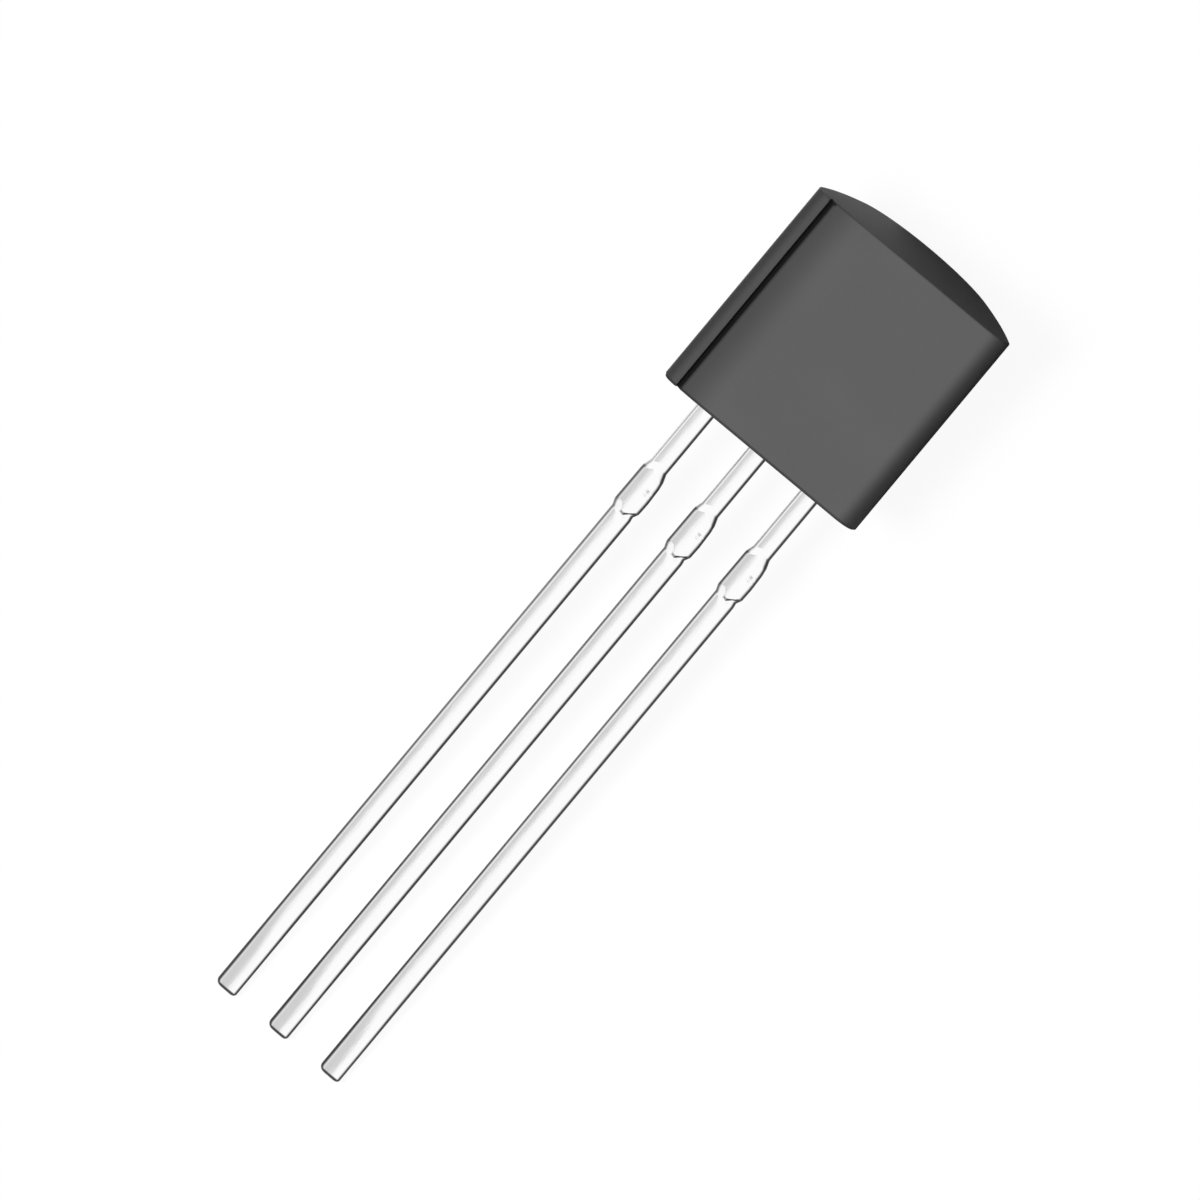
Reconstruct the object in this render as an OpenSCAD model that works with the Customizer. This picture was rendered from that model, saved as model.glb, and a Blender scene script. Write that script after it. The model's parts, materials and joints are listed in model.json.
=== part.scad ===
// Small signal transistor in the three-lead moulded package with one flat side.
// Millimetres, +Z up. The part lies on its round back with its flat face up, and its weight
// rests on the bottom edge of the moulding and on the tips of the leads.
// Each piece is drawn in the package's own upright frame: X runs along the row of leads,
// Y from the flat (minus) to the round back (plus), and Z up from the seating face of the
// moulding. lay_down() then turns every piece alike into the lying position.

/* [Moulding] */
// Width of the moulding, across the row of leads
body_w = 4.66; // [4.3:0.01:5.0]
// Height of the moulding, from the seating face to the top
body_h = 4.65; // [4.2:0.01:5.2]
// Distance from the flat to the middle of the lead frame
flat_depth = 1.0; // [0.9:0.01:1.3]
// Distance from the middle of the lead frame to the round back
back_depth = 2.34; // [2.1:0.01:2.5]
// Distance from the flat to the parting line, where the moulding is widest
parting_depth = 0.5; // [0.5:0.01:0.8]
// Radius of the round back
back_r = 1.95; // [1.8:0.01:2.1]
// Radius of the edge between the flat and the side at the emitter
flat_edge_r = 0.26; // [0.15:0.01:0.35]
// Radius of the softer edge between the flat and the side at the collector
soft_edge_r = 0.44; // [0.25:0.01:0.5]
// Chamfer along the edges of both ends
end_chamfer = 0.04; // [0.03:0.01:0.12]
// How far the front mould half stands in from the rear one at the parting line
parting_step = 0.02; // [0.01:0.005:0.05]
// Width of the land between that edge and the moulded groove
groove_land = 0.04; // [0.02:0.01:0.1]
// Width of the groove, at its mouth
groove_w = 0.13; // [0.06:0.01:0.2]
// Depth of the groove
groove_d = 0.25; // [0.1:0.01:0.3]
// Width of the groove's bottom
groove_bottom_w = 0.03; // [0.01:0.01:0.05]

/* [Leads] */
// Distance between neighbouring leads
pitch = 1.27; // [1.2:0.01:1.3]
// Length of the leads below the seating face
lead_len = 14.5; // [5:0.1:20]
// Width of a lead
lead_w = 0.48; // [0.36:0.01:0.56]
// Thickness of the lead frame sheet
lead_t = 0.40; // [0.32:0.01:0.5]
// Width of a lead between the moulding and its dam bar stub
neck_w = 0.42; // [0.34:0.01:0.5]
// Width across the dam bar stub
stub_w = 0.57; // [0.5:0.01:0.7]
// Distance from the seating face to where the stub begins
stub_start = 1.43; // [1:0.01:2]
// Length of the stub's sloping shoulder
stub_slope = 0.26; // [0.1:0.01:0.4]
// Length of the stub at its full width
stub_len = 0.78; // [0.4:0.01:1.2]
// Length of the step at the stub's lower end
stub_step = 0.09; // [0.04:0.01:0.15]
// How far the stub's face stands out in front of the rest of the lead
stub_raise = 0.03; // [0.01:0.005:0.05]
// Rounding along the long edges of a lead
lead_edge_r = 0.09; // [0.03:0.01:0.1]
// Chamfer around the cut tip
tip_chamfer = 0.07; // [0.02:0.01:0.1]

/* [Lead frame inside the moulding] */
// Width of the emitter and base bonding posts
post_w = 0.80; // [0.6:0.01:0.9]
// Height of the emitter post's lower edge above the seating face
emitter_post_z = 1.95; // [1.5:0.01:2.2]
// Length of the emitter post
emitter_post_len = 1.25; // [0.8:0.01:1.5]
// Height of the base post's lower edge above the seating face
base_post_z = 0.95; // [0.7:0.01:1.1]
// Length of the base post
base_post_len = 0.70; // [0.4:0.01:0.8]
// Height of the die paddle's lower edge above the seating face
paddle_z = 2.10; // [1.95:0.01:2.2]
// Length of the die paddle
paddle_len = 1.60; // [1.3:0.01:1.8]
// Gap between the die paddle and the emitter post
paddle_gap = 0.32; // [0.2:0.01:0.45]
// How far the die paddle reaches beyond the collector lead's middle
paddle_reach = 0.45; // [0.3:0.01:0.5]
// Depth of the notches that lock the frame into the moulding
lock_notch = 0.10; // [0.05:0.01:0.13]

/* [Die and bonds] */
// Side of the square die
die_side = 0.90; // [0.5:0.01:1.1]
// Thickness of the die
die_t = 0.20; // [0.12:0.01:0.25]
// Thickness of the solder under the die
bond_t = 0.03; // [0.02:0.005:0.05]
// How far the solder shows around the die
bond_margin = 0.06; // [0.02:0.01:0.1]
// Diameter of the bond wires
wire_d = 0.05; // [0.03:0.005:0.08]
// Rise of a bond wire above the straight line between its ends
wire_loop = 0.20; // [0.1:0.01:0.28]

/* [Hidden] */

// Plan of the moulding, seen from above, and the front face of the lead frame.
half_w = body_w / 2;
front_y = -flat_depth;
parting_y = front_y + parting_depth;
frame_front_y = -lead_t / 2;
back_centre_y = back_depth - back_r;
front_half_w = half_w - parting_step;

// Lying position: the lowest edges, at the moulding and at the tips, both touch the ground.
lay_angle = atan((back_depth - lead_t / 2) / (lead_len - tip_chamfer + end_chamfer));
lay_lift = back_depth * cos(lay_angle) - end_chamfer * sin(lay_angle);
lay_top_y = (back_depth - end_chamfer) * sin(lay_angle) + body_h * cos(lay_angle);
lay_tip_y = -(lead_t / 2 - tip_chamfer) * sin(lay_angle) - lead_len * cos(lay_angle);
lay_shift = -(lay_top_y + lay_tip_y) / 2;

// The dam bar stub, from its top to its lower end.
stub_full_z = -(stub_start + stub_slope);
stub_step_z = stub_full_z - stub_len;
stub_end_z = stub_step_z - stub_step;

// The lead frame inside the moulding, and the die on its paddle.
paddle_left = -pitch + post_w / 2 + paddle_gap;
paddle_right = pitch + paddle_reach;
paddle_top = paddle_z + paddle_len;
emitter_post_mid = emitter_post_z + emitter_post_len / 2;
base_post_mid = base_post_z + base_post_len / 2;
die_x = (paddle_left + pitch + neck_w / 2) / 2;
die_z = paddle_z + paddle_len / 2;
die_back_y = frame_front_y - bond_t;
die_front_y = die_back_y - die_t;
bond_side = die_side + 2 * bond_margin;
pad_offset = die_side / 4;

// Smoothness of the round parts.
back_fn = 64;
edge_fn = 32;
edge_steps = 3;
least_edge_r = 0.01;
wire_rings = 14;
wire_sides = 8;

// How far cutting shapes run past what they cut.
cut = 1;

function unit(v) = v / norm(v);

// Turns a piece from the package's upright frame into the lying position.
module lay_down() {
    translate([0, lay_shift, lay_lift]) rotate([lay_angle - 90, 0, 0]) children();
}

// ---- Moulding ----

// Plan with its widest line at the parting line, tangent sides and a round back.
module plan() {
    hull() {
        translate([0, back_centre_y]) circle(r = back_r, $fn = back_fn);
        polygon([[-half_w, parting_y], [half_w, parting_y], [0, back_depth]]);
        translate([-half_w + flat_edge_r, front_y + flat_edge_r])
            circle(r = flat_edge_r, $fn = edge_fn);
        translate([half_w - soft_edge_r, front_y + soft_edge_r])
            circle(r = soft_edge_r, $fn = edge_fn);
    }
}

// Both mould halves closed together, with a chamfer around the two ends.
module closed_mould() {
    hull() {
        translate([0, 0, end_chamfer]) linear_extrude(body_h - 2 * end_chamfer) plan();
        linear_extrude(body_h) offset(delta = -end_chamfer) plan();
    }
}

// The space of the two mould halves: the front one stands in a little all round.
module mould_halves() {
    translate([-half_w, parting_y, 0]) cube([body_w, back_depth - parting_y, body_h]);
    translate([-front_half_w, front_y, parting_step])
        cube([2 * front_half_w, parting_y - front_y, body_h - 2 * parting_step]);
}

// Groove along the whole flat, beside its edge at the emitter. Its walls keep their slope in
// front of the flat, where they cut nothing more.
module groove() {
    middle = -half_w + flat_edge_r + groove_land + groove_w / 2;
    slope = (groove_w - groove_bottom_w) / 2;
    mouth = groove_w / 2 + slope;
    bottom = groove_bottom_w / 2;
    translate([middle, front_y, -cut]) linear_extrude(body_h + 2 * cut)
        polygon([[-mouth, -groove_d], [mouth, -groove_d], [bottom, groove_d], [-bottom, groove_d]]);
}

module body() {
    color("#3b3c3e") lay_down() difference() {
        intersection() {
            closed_mould();
            mould_halves();
        }
        groove();
        emitter_frame();
        base_frame();
        collector_frame();
        solder();
        chip();
        emitter_bond();
        base_bond();
    }
}

// ---- Lead frame ----

// Outline of a rectangle with rounded corners, from its half width, its front and its back.
function section(half_width, front, back, edge_r) = [
    for (corner = [0:3], step = [0:edge_steps])
        let (turn = 90 * (corner + step / edge_steps),
             side_x = (corner == 0 || corner == 3) ? 1 : -1,
             centre_y = corner < 2 ? back - edge_r : front + edge_r)
        [side_x * (half_width - edge_r) + edge_r * cos(turn),
         centre_y + edge_r * sin(turn)]
];

// The outline of a lead: how far its front lies behind the stub's face, and how far the whole
// outline is drawn in, rounding included.
function lead_section(half_width, lies_back, drawn_in) =
    section(half_width - drawn_in, frame_front_y + lies_back + drawn_in,
            -frame_front_y - drawn_in, max(lead_edge_r - drawn_in, least_edge_r));

// A solid through such outlines, each given as [height, half width, lies back, drawn in].
module loft(stations) {
    rings = [for (s = stations) [for (p = lead_section(s[1], s[2], s[3])) [p.x, p.y, s[0]]]];
    count = len(rings[0]);
    last = len(rings) - 1;
    sides = [
        for (k = [0:last - 1], i = [0:count - 1])
            let (j = (i + 1) % count)
            [k * count + i, (k + 1) * count + i, (k + 1) * count + j, k * count + j]
    ];
    ends = [
        [for (i = [0:count - 1]) i],
        [for (i = [count - 1:-1:0]) last * count + i]
    ];
    polyhedron(points = [for (r = rings, p = r) p], faces = concat(sides, ends));
}

// A lead from its cut tip, past the dam bar stub, up to a height inside the moulding.
module lead(x, top) {
    translate([x, 0, 0]) loft([
        [-lead_len, lead_w / 2, stub_raise, tip_chamfer],
        [tip_chamfer - lead_len, lead_w / 2, stub_raise, 0],
        [stub_end_z, lead_w / 2, stub_raise, 0],
        [stub_step_z, stub_w / 2, 0, 0],
        [stub_full_z, stub_w / 2, 0, 0],
        [-stub_start, neck_w / 2, stub_raise, 0],
        [top, neck_w / 2, stub_raise, 0]
    ]);
}

// A flat plate of the frame sheet, standing upright, from its outline in X and Z.
module sheet(outline) {
    rotate([90, 0, 0]) linear_extrude(lead_t, center = true) polygon(outline);
}

// A plate from its four limits, with notches in both sides that lock it into the moulding.
module locked_plate(left, right, low, high) {
    mid = (low + high) / 2;
    sheet([[left, low], [right, low], [right, mid - lock_notch], [right - lock_notch, mid],
           [right, mid + lock_notch], [right, high], [left, high], [left, mid + lock_notch],
           [left + lock_notch, mid], [left, mid - lock_notch]]);
}

module emitter_frame() {
    lead(-pitch, emitter_post_z + lead_edge_r);
    locked_plate(-pitch - post_w / 2, -pitch + post_w / 2,
                 emitter_post_z, emitter_post_z + emitter_post_len);
}

module base_frame() {
    lead(0, base_post_z + lead_edge_r);
    locked_plate(-post_w / 2, post_w / 2, base_post_z, base_post_z + base_post_len);
}

module collector_frame() {
    lead(pitch, paddle_z + lead_edge_r);
    locked_plate(paddle_left, paddle_right, paddle_z, paddle_top);
}

module emitter_lead() {
    color("#c9ccd0") lay_down() emitter_frame();
}

module base_lead() {
    color("#c9ccd0") lay_down() base_frame();
}

module collector_lead() {
    color("#c9ccd0") lay_down() collector_frame();
}

// ---- Die and bonds ----

// A square tile on the front of the die paddle, between two depths.
module tile(side, back_y, front_y) {
    translate([die_x - side / 2, front_y, die_z - side / 2])
        cube([side, back_y - front_y, side]);
}

module chip() {
    tile(die_side, die_back_y, die_front_y);
}

module solder() {
    tile(bond_side, frame_front_y, die_back_y);
}

module die() {
    color("#56606b") lay_down() chip();
}

module die_bond() {
    color("#8d9094") lay_down() solder();
}

// A point on a bond wire from a to b: it leaves and lands square to the faces it joins.
function wire_point(a, b, u) =
    let (travel = u - sin(360 * u) / (2 * PI))
    [a.x + (b.x - a.x) * travel,
     a.y + (b.y - a.y) * u - 4 * wire_loop * u * (1 - u),
     a.z + (b.z - a.z) * travel];

// The direction of the wire at that point.
function wire_heading(a, b, u) =
    let (travel = 1 - cos(360 * u))
    unit([(b.x - a.x) * travel,
          b.y - a.y - 4 * wire_loop * (1 - 2 * u),
          (b.z - a.z) * travel]);

// A round wire from a to b, as rings of points joined into a tube.
module wire(a, b) {
    across = unit(cross([b.x - a.x, 0, b.z - a.z], [0, 1, 0]));
    points = [
        for (k = [0:wire_rings], i = [0:wire_sides - 1])
            let (u = k / wire_rings,
                 turn = 360 * i / wire_sides,
                 above = cross(wire_heading(a, b, u), across))
            wire_point(a, b, u) + wire_d / 2 * (across * cos(turn) + above * sin(turn))
    ];
    sides = [
        for (k = [0:wire_rings - 1], i = [0:wire_sides - 1])
            let (j = (i + 1) % wire_sides)
            [k * wire_sides + i, (k + 1) * wire_sides + i,
             (k + 1) * wire_sides + j, k * wire_sides + j]
    ];
    ends = [
        [for (i = [0:wire_sides - 1]) i],
        [for (i = [wire_sides - 1:-1:0]) wire_rings * wire_sides + i]
    ];
    polyhedron(points = points, faces = concat(sides, ends));
}

module emitter_bond() {
    wire([die_x - pad_offset, die_front_y, die_z + pad_offset],
         [-pitch, frame_front_y, emitter_post_mid]);
}

module base_bond() {
    wire([die_x - pad_offset, die_front_y, die_z - pad_offset],
         [0, frame_front_y, base_post_mid]);
}

module emitter_wire() {
    color("gold") lay_down() emitter_bond();
}

module base_wire() {
    color("gold") lay_down() base_bond();
}

body();
emitter_lead();
base_lead();
collector_lead();
die();
die_bond();
emitter_wire();
base_wire();
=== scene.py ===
import json

import bpy
import numpy as np
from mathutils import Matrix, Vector


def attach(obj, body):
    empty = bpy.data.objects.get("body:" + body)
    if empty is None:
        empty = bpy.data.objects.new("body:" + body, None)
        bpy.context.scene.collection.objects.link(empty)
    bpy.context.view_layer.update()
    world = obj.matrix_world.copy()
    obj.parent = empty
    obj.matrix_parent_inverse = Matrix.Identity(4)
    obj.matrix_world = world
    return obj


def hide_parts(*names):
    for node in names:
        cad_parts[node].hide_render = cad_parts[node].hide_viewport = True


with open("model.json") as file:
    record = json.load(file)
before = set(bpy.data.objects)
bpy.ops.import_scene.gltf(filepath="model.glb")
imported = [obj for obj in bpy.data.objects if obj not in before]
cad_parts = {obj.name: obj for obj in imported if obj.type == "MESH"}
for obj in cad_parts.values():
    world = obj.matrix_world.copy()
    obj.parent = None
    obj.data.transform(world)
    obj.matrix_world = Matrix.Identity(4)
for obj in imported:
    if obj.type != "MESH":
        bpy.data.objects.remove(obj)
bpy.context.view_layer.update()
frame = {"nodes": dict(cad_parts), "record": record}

# ---------------------------------------------------------------------------
# Lead frame.
# Three leads stamped from one sheet of steel and dipped in tin. The bar that
# tied them together while they were moulded was cut off and left its stubs.
# ---------------------------------------------------------------------------

# Millimetres in the package's upright frame, in which z is 0 where the leads leave the moulding.
pitch = 1.27
lead_len = 14.5
lead_w, sheet_t = 0.48, 0.40
lead_edge_r = 0.09
lead_crown = 0.47
# The cut tip: the radii that round off its faces and its left and right corners, the share of the faces'
# rounding that its long edges lose, and how the shears turned it.
tip_r, tip_left_r, tip_right_r = 0.07, 0.13, 0.085
tip_edge_loss = 0.8
twist_lean, twist_top, twist_run = 0.10, -12.8, 0.8
# The sides of a lead round its stub: the height, and the reach from the axis.
left_side = np.array([(-2.63, lead_w / 2), (-2.50, 0.285), (-1.72, 0.279), (-1.665, 0.275),
                      (-1.49, 0.232)])
right_side = np.array([(-2.68, lead_w / 2), (-2.58, 0.223), (-2.47, 0.277), (-2.20, 0.285),
                       (-1.85, 0.270), (-1.70, 0.248), (-1.54, 0.193)])
# The stub's face. Its upper bevel starts at a blunt point, and falls away on both sides of it.
stub_w, stub_raise = 0.57, 0.03
upper_point, upper_start, upper_fall, upper_run = -0.20, -1.43, 0.15, 0.17
# Its lower bevel, from -1 at the left to 1 at the right: the heights of its edge and of its foot.
lower_across = [-1.0, -0.40, -0.12, 0.10, 0.40, 0.70, 1.0]
lower_edge = [-2.43, -2.455, -2.585, -2.59, -2.55, -2.49, -2.45]
lower_foot = [-2.61, -2.69, -2.64, -2.67, -2.575, -2.502, -2.462]
# A tear at the lower bevel's point, and two slanting scuffs: where they are, their reach and their depth.
tear_across, tear_z, tear_half_w, tear_half_h, tear_depth = 0.10, -2.67, 0.30, 0.10, 0.012
scuff_x, scuff_half_w, scuff_half_h, scuff_slant = 0.13, 0.06, 0.02, 0.25
scuff_heights_and_depths = [(-1.97, 0.017), (-2.05, 0.013)]
# Inside the moulding: the posts under the bond wires, and the paddle that carries the chip.
post_w, lock_notch = 0.80, 0.10
emitter_post_low, emitter_post_high = 1.95, 3.20
base_post_low, base_post_high = 0.95, 1.65
paddle_left, paddle_right, paddle_low, paddle_high = -0.55, 1.72, 2.10, 3.70

# The part lies on its round back. Its pieces are drawn upright, and laid down by the mount where the
# leads leave the moulding.
metres = 0.001
lead_row = next(mount for mount in frame["record"]["mounts"] if mount["name"] == "lead_row")
seat = np.array(lead_row["pos_m"])
upward = -np.array(lead_row["axis"]) / np.linalg.norm(lead_row["axis"])
across = np.array([1.0, 0.0, 0.0])
backward = np.cross(upward, across)


def lay(upright):
    """Points of the lying part, in metres: the seat, plus x across, y backward and z upward."""
    return seat + metres * (upright @ np.array([across, backward, upward]))


def solid_of_rings(name, stacks, smooth_angle=35.0):
    """One mesh of closed tubes. Each stack is an array of rings by points by xyz: faces join each ring
    to the next one, and the first and last rings are capped."""
    points, faces, first = [], [], 0
    for rings in stacks:
        count, around = rings.shape[:2]
        ring, step = np.meshgrid(np.arange(count - 1), np.arange(around), indexing="ij")
        here, ahead = first + ring * around + step, first + ring * around + (step + 1) % around
        quads = np.stack([here, ahead, ahead + around, here + around], axis=-1)
        faces += quads.reshape(-1, 4).tolist()
        faces.append((first + np.arange(around)[::-1]).tolist())
        faces.append((first + (count - 1) * around + np.arange(around)).tolist())
        points.append(rings.reshape(-1, 3))
        first += count * around
    mesh = bpy.data.meshes.new(name)
    mesh.from_pydata(lay(np.concatenate(points)).tolist(), [], faces)
    mesh.polygons.foreach_set("use_smooth", np.ones(len(mesh.polygons), bool))
    mesh.set_sharp_from_angle(angle=np.radians(smooth_angle))
    mesh.update()
    piece = bpy.data.objects.new(name, mesh)
    bpy.context.scene.collection.objects.link(piece)
    return piece


def rounded_bars(left, right, half_t, radius, arc_steps=8, wide_steps=24, thin_steps=8):
    """Rounded rectangles as x and y, one for each given reach to the left and right of the lead's axis.
    A point is the middle, plus its corner's sign times the half size less the radius, plus the radius
    times the outward direction. The wide faces are crowned: they fall by lead_crown times x squared."""
    corners = np.array([[1, 1], [-1, 1], [-1, -1], [1, -1]], float)
    signs, headings = [], []
    for quarter, side_steps in enumerate([wide_steps, thin_steps, wide_steps, thin_steps]):
        corner, next_corner = corners[quarter], corners[(quarter + 1) % 4]
        turn = np.radians(90 * quarter + np.linspace(0, 90, arc_steps))
        share = np.linspace(0, 1, side_steps + 2)[1:-1, None]
        arc = np.stack([np.cos(turn), np.sin(turn)], axis=1)
        signs += [np.repeat(corner[None], arc_steps, axis=0), corner + (next_corner - corner) * share]
        headings += [arc, np.repeat(arc[-1:], side_steps, axis=0)]
    sign, heading = np.concatenate(signs), np.concatenate(headings)
    middle, half_w = (right - left) / 2, (right + left) / 2
    x = middle[:, None] + sign[:, 0] * (half_w - radius)[:, None] + heading[:, 0] * radius[:, None]
    y = sign[:, 1] * (half_t - radius)[:, None] + heading[:, 1] * radius[:, None]
    return x, y - lead_crown * x ** 2 * heading[:, 1]


def stub_bevels(x, z):
    """How far the front lies behind the stub's face: stub_raise beyond its two bevels, and nothing
    between them. Each bevel is a straight ramp in z from its edge to its foot, and both wander across
    the face: the upper one to a blunt point, the lower one to a skew V, where the shears let go with a
    small tear. The tear and the scuffs are a depth times a bell: e to the minus distance squared."""
    u = x / (stub_w / 2)
    upper_foot = upper_start - upper_fall * np.abs(u - upper_point)
    upper = np.clip((z - upper_foot) / upper_run + 1, 0, 1)
    edge = np.interp(u, lower_across, lower_edge)
    foot = np.interp(u, lower_across, lower_foot)
    lower = np.clip((edge - z) / (edge - foot), 0, 1)
    tear_apart = ((u - tear_across) / tear_half_w) ** 2 + ((z - tear_z) / tear_half_h) ** 2
    behind = stub_raise * np.maximum(upper, lower) + tear_depth * lower * np.exp(-tear_apart)
    for height, depth in scuff_heights_and_depths:
        off_line = z - height + scuff_slant * x
        scuff_apart = ((x - scuff_x) / scuff_half_w) ** 2 + (off_line / scuff_half_h) ** 2
        behind = behind + depth * np.exp(-scuff_apart)
    return behind


def tip_rounding(z, radius):
    """How far a face is drawn in at a height, where a quarter circle rounds it off to the cut tip: the
    radius, less the root of the radius squared minus the distance to the circle's centre squared."""
    below_centre = np.clip(radius - lead_len - z, 0, radius)
    return radius - np.sqrt(radius ** 2 - below_centre ** 2)


def tip_twist(x, z):
    """How far the shears turned the front face near the tip: a lean times x, coming in along twist_run."""
    return -twist_lean * x * np.clip((twist_top - z) / twist_run, 0, 1)


def lead(x_mid, top):
    """A lead from its cut tip up to a height in the moulding, as rings that lie closest round the tip
    and the stub. Its sides run straight between the stub's knots, and the tip's corners are quarter
    circles. The bevels and the twist are those of the front face, and fade out round the sides."""
    tip_rings, shank_rings, stub_rings, neck_rings = 13, 40, 140, 12
    margin_below, margin_above = 0.30, 0.15
    stub_low, stub_high = left_side[0, 0] - margin_below, left_side[-1, 0] + margin_above
    tip = tip_left_r * (1 - np.cos(np.radians(np.linspace(0, 90, tip_rings)))) - lead_len
    shank = np.linspace(tip[-1], stub_low, shank_rings)
    stub = np.linspace(stub_low, stub_high, stub_rings)
    neck = np.linspace(stub_high, top, neck_rings)
    z = np.concatenate([tip, shank[1:], stub[1:], neck[1:]])
    drawn_in = tip_rounding(z, tip_r)
    x, y = rounded_bars(np.interp(z, *left_side.T) - tip_rounding(z, tip_left_r),
                        np.interp(z, *right_side.T) - tip_rounding(z, tip_right_r),
                        sheet_t / 2 - drawn_in, lead_edge_r - tip_edge_loss * drawn_in)
    z = np.repeat(z[:, None], x.shape[1], axis=1)
    front_layer = sheet_t / 4
    to_front = np.clip(-y / front_layer, 0, 1)
    y = y + (stub_bevels(x, z) + tip_twist(x, z)) * to_front
    return np.stack([x_mid + x, y, z], axis=-1)


def locked_plate(left, right, low, high):
    """A post or paddle: a rectangle with a notch in each side, carried through the sheet's thickness."""
    mid, notch = (low + high) / 2, lock_notch
    outline = np.array([[left, low], [right, low],
                        [right, mid - notch], [right - notch, mid], [right, mid + notch],
                        [right, high], [left, high],
                        [left, mid + notch], [left + notch, mid], [left, mid - notch]])
    faces = [np.insert(outline, 1, y, axis=1) for y in (sheet_t / 2, -sheet_t / 2)]
    return np.array(faces)


class Shade:
    """A socket in a node tree. Arithmetic on it adds Math nodes, so a mask reads as a formula."""

    def __init__(self, tree, socket):
        self.tree = tree
        self.socket = socket

    def node(self, kind, settings=(), inputs=(), output=0):
        """A node of that kind, with its settings and then its sockets' values or links put in place."""
        made = self.tree.nodes.new("ShaderNode" + kind)
        for key, value in dict(settings).items():
            setattr(made, key, value)
        for key, value in dict(inputs).items():
            if isinstance(value, Shade):
                self.tree.links.new(value.socket, made.inputs[key])
            else:
                made.inputs[key].default_value = value
        return Shade(self.tree, made.outputs[output])

    def math(self, operation, first, *others):
        return self.node("Math", {"operation": operation}, dict(enumerate((first, *others))))

    def __add__(self, other):
        return self.math("ADD", self, other)

    def __radd__(self, other):
        return self.math("ADD", other, self)

    def __sub__(self, other):
        return self.math("SUBTRACT", self, other)

    def __rsub__(self, other):
        return self.math("SUBTRACT", other, self)

    def __mul__(self, other):
        return self.math("MULTIPLY", self, other)

    def __rmul__(self, other):
        return self.math("MULTIPLY", other, self)

    def __abs__(self):
        return self.math("ABSOLUTE", self)

    def __or__(self, other):
        return self.math("MAXIMUM", self, other)

    def dot(self, axis):
        """How far this vector reaches along an axis."""
        return self.node("VectorMath", {"operation": "DOT_PRODUCT"}, {0: self, 1: tuple(axis)}, "Value")

    def ease(self, low, high):
        """0 below low, 1 above high, and a smooth step between."""
        return self.node("MapRange", {"interpolation_type": "SMOOTHSTEP"},
                         {"Value": self, "From Min": low, "From Max": high})

    def near(self, middle, inner, outer):
        """1 within the inner distance of the middle, 0 past the outer one, and a smooth step between."""
        return 1.0 - abs(self - middle).ease(inner, outer)

    def mix(self, first, second):
        """The first colour where this is 0 and the second where it is 1."""
        return self.node("Mix", {"data_type": "RGBA"}, {0: self, 6: first, 7: second}, output=2)


def grey(level):
    return (level, level, level, 1.0)


def new_material(name):
    """A material, its Principled shader, and the Object coordinates that its nodes start from."""
    material = bpy.data.materials.new(name)
    material.use_nodes = True
    shader = material.node_tree.nodes["Principled BSDF"]
    place = Shade(material.node_tree, shader.outputs[0]).node("TexCoord", output="Object")
    return material, shader, place


def finish_material(material, shader, **values):
    """Sets the Principled shader's sockets: a Shade is linked, and a plain value is set."""
    for key, value in values.items():
        socket = shader.inputs[key.replace("_", " ")]
        if isinstance(value, Shade):
            material.node_tree.links.new(value.socket, socket)
        else:
            socket.default_value = value
    return material


def package_axes(place):
    """A place across, backward and upward in the package's upright frame, in millimetres: lay() undone."""
    from_seat = place.node("VectorMath", {"operation": "SUBTRACT"}, {0: place, 1: tuple(seat)})
    return [from_seat.dot(axis / metres) for axis in (across, backward, upward)]


def dress(piece, material, node_name):
    """Gives a new piece its material and slot. It rides on the part and stands for its CAD node."""
    piece.data.materials.append(material)
    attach(piece, "root")
    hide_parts(node_name)


def tinned_sheet():
    """Dipped tin: bright metal, a little wavy along the lead. Dark lines along the sheet's corners are a
    painted dark reflection in the base colour: on the right side, facing +x, all the way, and on the left
    side least on the necks and most at the tips and on the stubs. The cut ends have no tin and show bare
    steel."""
    material, shader, place = new_material("tinned_sheet")
    stretched = place.node("Mapping", inputs={"Vector": place, "Scale": (1.0, 0.12, 1.0)})
    wave = place.node("TexNoise", inputs={"Vector": stretched, "Scale": 9000.0, "Detail": 4.0})
    grain = place.node("TexNoise", inputs={"Vector": place, "Scale": 60000.0, "Detail": 3.0})
    normal = place.node("NewGeometry", output="Normal")
    facing = abs(normal.dot(backward))
    # Painted dark reflection: the base colour turns dark along the sheet's rounded corners, all the way on
    # the +x side.
    plus_x_side = normal.dot(across).ease(-0.05, 0.05)
    right_painted_reflection = (1.0 - facing.ease(0.80, 0.985)) * plus_x_side
    below_seat = 0.0 - package_axes(place)[2]
    below_neck, to_tip = below_seat.ease(1.5, 1.9), below_seat.ease(5.0, 14.0)
    stub_middle = 2.07
    on_stub = below_seat.near(stub_middle, 0.40, 0.48)
    # How strong the painted dark reflection on the -x side is along the lead.
    left_reflection_weight = 0.15 + below_neck * 0.65 + to_tip * 0.20 | on_stub * 0.9
    widening = (on_stub | below_seat.ease(8.0, 14.0)) * 0.05
    left_painted_reflection = (1.0 - (facing - widening).ease(0.72, 0.94)) * left_reflection_weight
    cut_end = below_seat.ease(lead_len - 0.08, lead_len - 0.05)
    # The painted dark reflection on the corners and the real bare steel of the cut ends share one dark
    # colour.
    painted_reflection_and_cut_end = (right_painted_reflection | left_painted_reflection) * facing.ease(0.05, 0.35) | cut_end
    bright_tin, dark_reflection_and_bare_steel = wave.mix(grey(0.96), grey(1.00)), grey(0.09)
    bump = place.node("Bump", inputs={"Strength": 0.15, "Distance": 0.00002, "Height": grain * 0.4 + wave})
    return finish_material(material, shader, Metallic=1.0, Base_Color=painted_reflection_and_cut_end.mix(bright_tin, dark_reflection_and_bare_steel),
                           Roughness=0.12 + wave * 0.06 + painted_reflection_and_cut_end * 0.25, Normal=bump)


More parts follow.
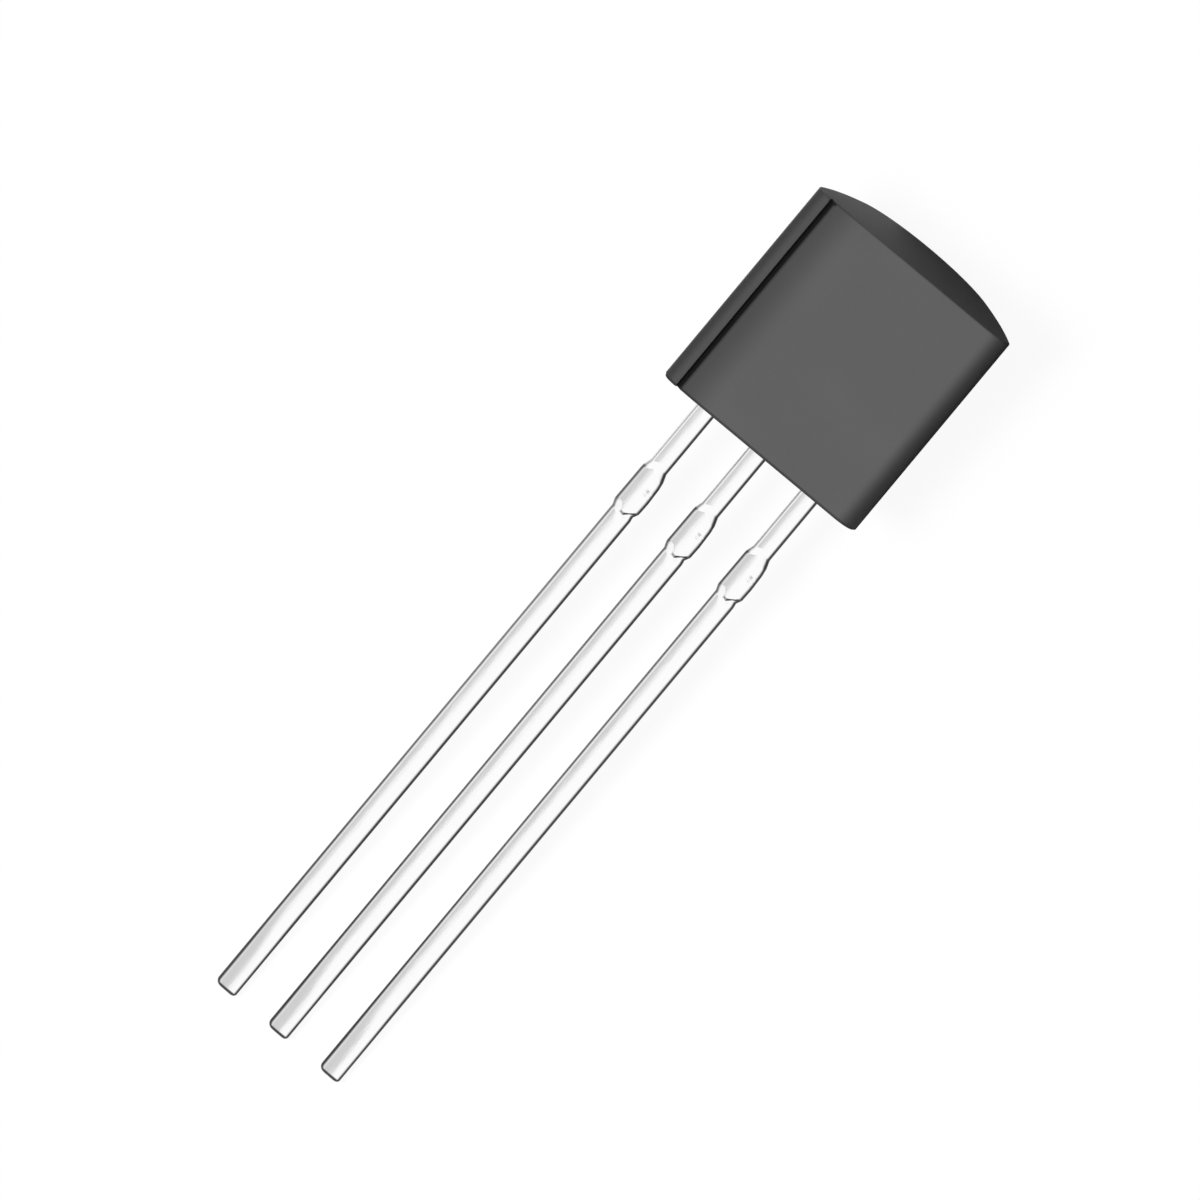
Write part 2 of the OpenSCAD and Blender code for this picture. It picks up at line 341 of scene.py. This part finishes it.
tin = tinned_sheet()
half_post = post_w / 2
for node_name, x_mid, left, right, low, high in [
        ("emitter_lead", -pitch, -pitch - half_post, -pitch + half_post, emitter_post_low, emitter_post_high),
        ("base_lead", 0.0, -half_post, half_post, base_post_low, base_post_high),
        ("collector_lead", pitch, paddle_left, paddle_right, paddle_low, paddle_high)]:
    plated = solid_of_rings("plated_" + node_name, [lead(x_mid, low), locked_plate(left, right, low, high)])
    dress(plated, tin, node_name)


# ---------------------------------------------------------------------------
# Die and bonds.
# A silicon chip soldered to the collector's paddle, and two gold wires from
# its pads to the emitter and base posts.
# ---------------------------------------------------------------------------

def inner_finish(name, colour, metallic, roughness, speckle):
    """A small piece inside the moulding: one colour, mottled by a fine noise that moves its roughness."""
    material, shader, place = new_material(name)
    fine = place.node("TexNoise", inputs={"Vector": place, "Scale": 20000.0, "Detail": 3.0})
    dark = tuple(channel * (1 - speckle) for channel in colour) + (1.0,)
    bump = place.node("Bump", inputs={"Strength": 0.2, "Distance": 0.00001, "Height": fine})
    return finish_material(material, shader, Base_Color=fine.mix(dark, colour + (1.0,)), Metallic=metallic,
                           Roughness=roughness + fine * 0.15, Normal=bump)


silicon = inner_finish("silicon", (0.10, 0.12, 0.15), metallic=0.3, roughness=0.12, speckle=0.3)
solder = inner_finish("solder", (0.50, 0.51, 0.53), metallic=1.0, roughness=0.35, speckle=0.4)
gold_wire = inner_finish("gold_wire", (0.85, 0.60, 0.22), metallic=1.0, roughness=0.18, speckle=0.1)
for node_name, finish in [("die", silicon), ("die_bond", solder),
                          ("emitter_wire", gold_wire), ("base_wire", gold_wire)]:
    materials = frame["nodes"][node_name].data.materials
    materials.clear()
    materials.append(finish)


# ---------------------------------------------------------------------------
# Moulding.
# One shot of black filled epoxy, pressed round the lead frame between two
# mould halves. They part a little in front of the leads.
# ---------------------------------------------------------------------------

body_w, body_h = 4.66, 4.65
front_y, parting_y, back_y = -1.0, -0.50, 2.34
back_r, side_r, flat_edge_r, soft_edge_r, end_r = 1.75, 8.0, 0.26, 0.44, 0.04
# The front mould half stands in a little behind the rear one.
parting_step = 0.02
# The groove: the land beside it, its size, and the width of its steep left and gentle right walls.
groove_land, groove_w, groove_d = 0.04, 0.13, 0.14
groove_left_wall, groove_right_wall = 0.04, 0.08
groove_left = -body_w / 2 + flat_edge_r + groove_land
groove_right = groove_left + groove_w
groove_x = groove_left + groove_w / 2
# The flat sinks a little towards the groove.
fall_d, fall_run = 0.03, 0.6


def arc(x, y, radius, start, end, steps):
    """Points on an arc, as centre plus radius times direction, and the directions."""
    turn = np.linspace(start, end, steps)
    heading = np.stack([np.cos(turn), np.sin(turn)], axis=1)
    return np.array([x, y]) + radius * heading, heading


def moulding_plan():
    """The plan as points, outward normals, and how far each point stands in from the plain outline. The
    back is three tangent arcs, a tight one between two nearly straight ones that start at the widest
    line. The cosine rule, on the tight arc's centre, a side arc's centre and the widest point, gives the
    angle at which they meet. The front is straight between its two edge arcs. The groove is a trough
    with two sloping walls, and the flat falls towards it by a squared ramp."""
    half, centre = body_w / 2, back_y - back_r
    hub, reach = side_r - back_r, np.hypot(half, parting_y - centre)
    turned = np.arccos((hub ** 2 + reach ** 2 - side_r ** 2) / (2 * hub * reach))
    lean = np.pi - turned + np.arctan2(parting_y - centre, half)
    side_x, side_y = -hub * np.cos(lean), centre - hub * np.sin(lean)
    side_lean = np.arctan2(parting_y - side_y, half - side_x)

    # Columns lie closest at the groove's mouth, and closer where the flat falls than beyond it.
    mouth_margin, fall_margin = 0.01, 0.07
    mouth_steps, fall_steps, flat_steps = 61, 41, 40
    mouth_left, mouth_right = groove_left - mouth_margin, groove_right + mouth_margin
    fall_end = groove_right + fall_run + fall_margin
    flat_x = np.concatenate([[-half + flat_edge_r],
                             np.linspace(mouth_left, mouth_right, mouth_steps),
                             np.linspace(mouth_right, fall_end, fall_steps)[1:],
                             np.linspace(fall_end, half - soft_edge_r, flat_steps)[1:-1]])
    flat = np.stack([flat_x, np.full(len(flat_x), front_y)], axis=1)
    flat_out = np.tile([0, -1], (len(flat), 1))
    soft, soft_out = arc(half - soft_edge_r, front_y + soft_edge_r, soft_edge_r, -np.pi / 2, 0, steps=25)
    firm, firm_out = arc(-half + flat_edge_r, front_y + flat_edge_r, flat_edge_r, np.pi, 1.5 * np.pi,
                         steps=17)
    back, back_out = arc(0, centre, back_r, lean, np.pi - lean, steps=121)
    side, side_out = (line[1:-1] for line in arc(side_x, side_y, side_r, side_lean, lean, steps=33))

    # The widest line is there twice, once for each mould half.
    widest = np.array([[half, parting_y]] * 2)
    widest_out = np.array([[1, np.tan(side_lean / 2)]] * 2)
    mirror = np.array([-1, 1])
    points = np.concatenate([flat, soft, widest, side, back,
                             side[::-1] * mirror, widest * mirror, firm[:-1]])
    normals = np.concatenate([flat_out, soft_out, widest_out, side_out, back_out,
                              side_out[::-1] * mirror, widest_out * mirror, firm_out[:-1]])
    front = np.concatenate([np.ones(len(flat) + len(soft) + 1),
                            np.zeros(len(back) + 2 * len(side) + 2),
                            np.ones(len(firm))])

    steep, gentle = (flat_x - groove_left) / groove_left_wall, (groove_right - flat_x) / groove_right_wall
    trough = groove_d * np.clip(np.minimum(steep, gentle), 0, 1)
    fall = fall_d * np.clip(1 - (flat_x - groove_right) / fall_run, 0, 1) ** 2 * (flat_x > groove_left)
    inset = parting_step * front * np.abs(normals[:, 0])
    inset[:len(flat)] = np.maximum(trough, fall)
    return points, normals, inset


def moulding():
    """The plan carried up the body. The ends are rounded: a quarter circle of end_r sets how far each
    ring stands in along the normals, and each ring's height."""
    points, normals, inset = moulding_plan()
    end_rings, middle_rings = 9, 12
    turn = np.radians(np.linspace(0, 90, end_rings))
    end_in, end_z = end_r * (1 - np.sin(turn)), end_r * (1 - np.cos(turn))
    middle = np.linspace(end_r, body_h - end_r, middle_rings)[1:-1]
    z = np.concatenate([end_z, middle, body_h - end_z[::-1]])
    ring_in = np.concatenate([end_in, np.zeros(len(middle)), end_in[::-1]])
    plan = points - normals * (inset + ring_in[:, None])[..., None]
    height = np.broadcast_to(z[:, None, None], plan.shape[:2] + (1,))
    return np.concatenate([plan, height], axis=-1)


def filled_epoxy():
    """Filled epoxy from a fine-eroded mould: near black and matt, with a faint cloud and a very fine grain.
    Painted shade makes it darker on the sides and ends than on the flat, in the groove and beside it, along
    the lower rim, and in a small tick at the groove's upper end."""
    material, shader, place = new_material("filled_epoxy")
    x, y, z = package_axes(place)
    normal = place.node("NewGeometry", output="Normal")
    sideways, endways = abs(normal.dot(across)), abs(normal.dot(upward))
    cloud = place.node("TexNoise", inputs={"Vector": place, "Scale": 700.0, "Detail": 5.0})
    grain = place.node("TexNoise", inputs={"Vector": place, "Scale": 45000.0, "Detail": 4.0})
    off_end = 1.0 - endways.ease(0.6, 0.95)
    # Painted shade on the flat beside the groove.
    beside_groove_shade = x.near(groove_x + 0.1, 0.0, 0.7) * (1.0 - y.ease(front_y + 0.05, front_y + 0.30))
    from_groove = x - groove_x
    # Painted shade inside the groove.
    in_groove_shade = from_groove.ease(-0.07, -0.05) * (1.0 - from_groove.ease(0.0, 0.11))
    trough = in_groove_shade * (1.0 - y.ease(front_y + 0.26, front_y + 0.40)) * off_end
    # Painted shade along the rounded lower rim of the flat.
    lower_rim_shade = (1.0 - z.ease(0.04, 0.07)) * (1.0 - endways.ease(0.93, 0.99))
    # A tick of painted shade at the groove's upper end.
    groove_top_shade = x.near(groove_x + 0.01, 0.07, 0.10) * z.ease(body_h - 0.07, body_h - 0.05) * off_end
    colour = (cloud * 0.6 + grain * 0.4).mix(grey(0.085), grey(0.110))
    # Painted shade: each mask darkens the base colour towards its grey level, the sides and ends as their
    # normals turn away from the flat.
    for mask, level in [(beside_groove_shade * 0.45, 0.02),
                        (sideways.ease(0.05, 0.80), 0.04),
                        (endways.ease(0.3, 0.9) * 0.33, 0.02),
                        (lower_rim_shade * 0.65, 0.02),
                        (groove_top_shade, 0.015),
                        (trough, 0.01)]:
        colour = mask.mix(colour, grey(level))
    bump = place.node("Bump", inputs={"Strength": 0.25, "Distance": 0.000012, "Height": grain})
    return finish_material(material, shader, Base_Color=colour, Roughness=0.60 + grain * 0.15,
                           Specular_IOR_Level=0.12, Normal=bump)


dress(solid_of_rings("moulded_body", [moulding()]), filled_epoxy(), "body")


# ---------------------------------------------------------------------------
# Table, lamps and camera.
# A white sheet under soft lamps in a pale room. The camera looks straight
# down, turned so that the leads run to the lower left.
# ---------------------------------------------------------------------------

def level_sheet(name, left, right, low, high, height=0.0):
    """A level sheet between four limits, which is no part of the object."""
    mesh = bpy.data.meshes.new(name)
    corners = [(left, low, height), (right, low, height), (right, high, height), (left, high, height)]
    mesh.from_pydata(corners, [], [(0, 1, 2, 3)])
    sheet = bpy.data.objects.new(name, mesh)
    bpy.context.scene.collection.objects.link(sheet)
    return sheet


def showing_rays(start):
    """The camera's rays, and with them those that the part mirrors or bends: those that show the room."""
    camera_ray = start.node("LightPath", output="Is Camera Ray")
    outputs = camera_ray.socket.node.outputs
    mirrored = Shade(start.tree, outputs["Is Glossy Ray"])
    bent = Shade(start.tree, outputs["Is Transmission Ray"])
    return camera_ray, camera_ray | mirrored | bent


def white_paper():
    """White paper. Rays that show the room see it as plain white, with a trace of the part's soft shadow
    from the share that is left of the lit paper."""
    material, shader, place = new_material("white_paper")
    finish_material(material, shader, Base_Color=grey(0.90), Roughness=0.9, Specular_IOR_Level=0.0)
    lit_paper = Shade(place.tree, shader.outputs[0])
    plain_white = place.node("Emission", inputs={"Color": grey(1.0), "Strength": 1.0})
    shown = showing_rays(place)[1]
    surface = place.node("MixShader", inputs={0: shown * 0.93, 1: lit_paper, 2: plain_white})
    place.tree.links.new(surface.socket, place.tree.nodes["Material Output"].inputs["Surface"])
    return material


def dark_card(name, level, left, right, low, high):
    """A card on the table that only the part sees. It keeps the white table out of the part's sides.
    From below it is clear, so that the table keeps its light."""
    card_height = 0.00002
    card = level_sheet(name, left, right, low, high, card_height)
    material, shader, place = new_material(name)
    from_above = 1.0 - place.node("NewGeometry", output="Backfacing")
    finish_material(material, shader, Base_Color=grey(level), Roughness=0.9, Specular_IOR_Level=0.0,
                    Alpha=from_above)
    card.data.materials.append(material)
    card.visible_camera = card.visible_shadow = False


def pale_room(ambient):
    """A pale room: plain white behind the part and an even glow on it. The part's metal mirrors white
    above, a grey card to the left of where the leads' faces look, and darker walls towards the floor."""
    world = bpy.data.worlds.new("pale_room")
    world.use_nodes = True
    tree = world.node_tree
    glow = Shade(tree, tree.nodes["Background"].outputs[0])
    glow.socket.node.inputs["Color"].default_value = grey(ambient)
    camera_ray, shown = showing_rays(glow)
    direction = glow.node("TexCoord", output="Generated")
    to_right, to_top, to_ceiling = (direction.dot(axis) for axis in np.eye(3))
    leads_look = float(2 * backward[1] * backward[2])
    card_width = to_right.ease(-0.74, -0.44) * (1.0 - to_right.ease(-0.20, -0.08))
    card = card_width * to_top.near(leads_look, 0.12, 0.20)
    walls = 1.0 - to_ceiling.ease(0.05, 0.75)
    darkness = (card * 0.38 | walls * 0.65) * (1.0 - camera_ray)
    white = glow.node("Background", inputs={"Color": grey(1.0)})
    black = glow.node("Background", inputs={"Color": grey(0.0)})
    seen = glow.node("MixShader", inputs={0: darkness, 1: white, 2: black})
    surface = glow.node("MixShader", inputs={0: shown, 1: glow, 2: seen})
    tree.links.new(surface.socket, tree.nodes["World Output"].inputs["Surface"])
    bpy.context.scene.world = world


def softbox(name, place, size, power, target=(0.0, 0.0, 0.0)):
    """A square area lamp that faces the target. It lights the part, whose metal mirrors only the room."""
    data = bpy.data.lights.new(name, "AREA")
    data.size = size
    data.energy = power
    lamp = bpy.data.objects.new(name, data)
    lamp.location = place
    lamp.rotation_euler = (Vector(place) - Vector(target)).to_track_quat("Z", "Y").to_euler()
    lamp.visible_glossy = False
    bpy.context.scene.collection.objects.link(lamp)


table = level_sheet("table", left=-1.5, right=1.5, low=-1.5, high=1.5)
table.data.materials.append(white_paper())
dark_card("right_card", level=0.02, left=-0.0007, right=0.015, low=0.0046, high=0.025)
dark_card("left_card", level=0.30, left=-0.012, right=-0.0024, low=0.0046, high=0.0096)
pale_room(ambient=0.22)
softbox("key_softbox", place=(-0.055, -0.04, 0.21), size=0.05, power=0.48)
softbox("end_kicker", place=(-0.007, 0.015, 0.004), size=0.004, power=0.00008,
        target=(-0.001, 0.0096, 0.002))

picture_width = 0.02268
picture_x, picture_y, camera_height = -0.000529, 0.000555, 0.5
view_turn = np.radians(39.8)
camera_data = bpy.data.cameras.new("camera")
camera_data.type = "ORTHO"
camera_data.ortho_scale = picture_width
camera_data.clip_start = 0.001
camera_data.clip_end = 1.0
camera = bpy.data.objects.new("camera", camera_data)
camera.location = (picture_x, picture_y, camera_height)
camera.rotation_euler = (0.0, 0.0, view_turn)
bpy.context.scene.collection.objects.link(camera)
bpy.context.scene.camera = camera
bpy.context.scene.view_settings.view_transform = "Standard"
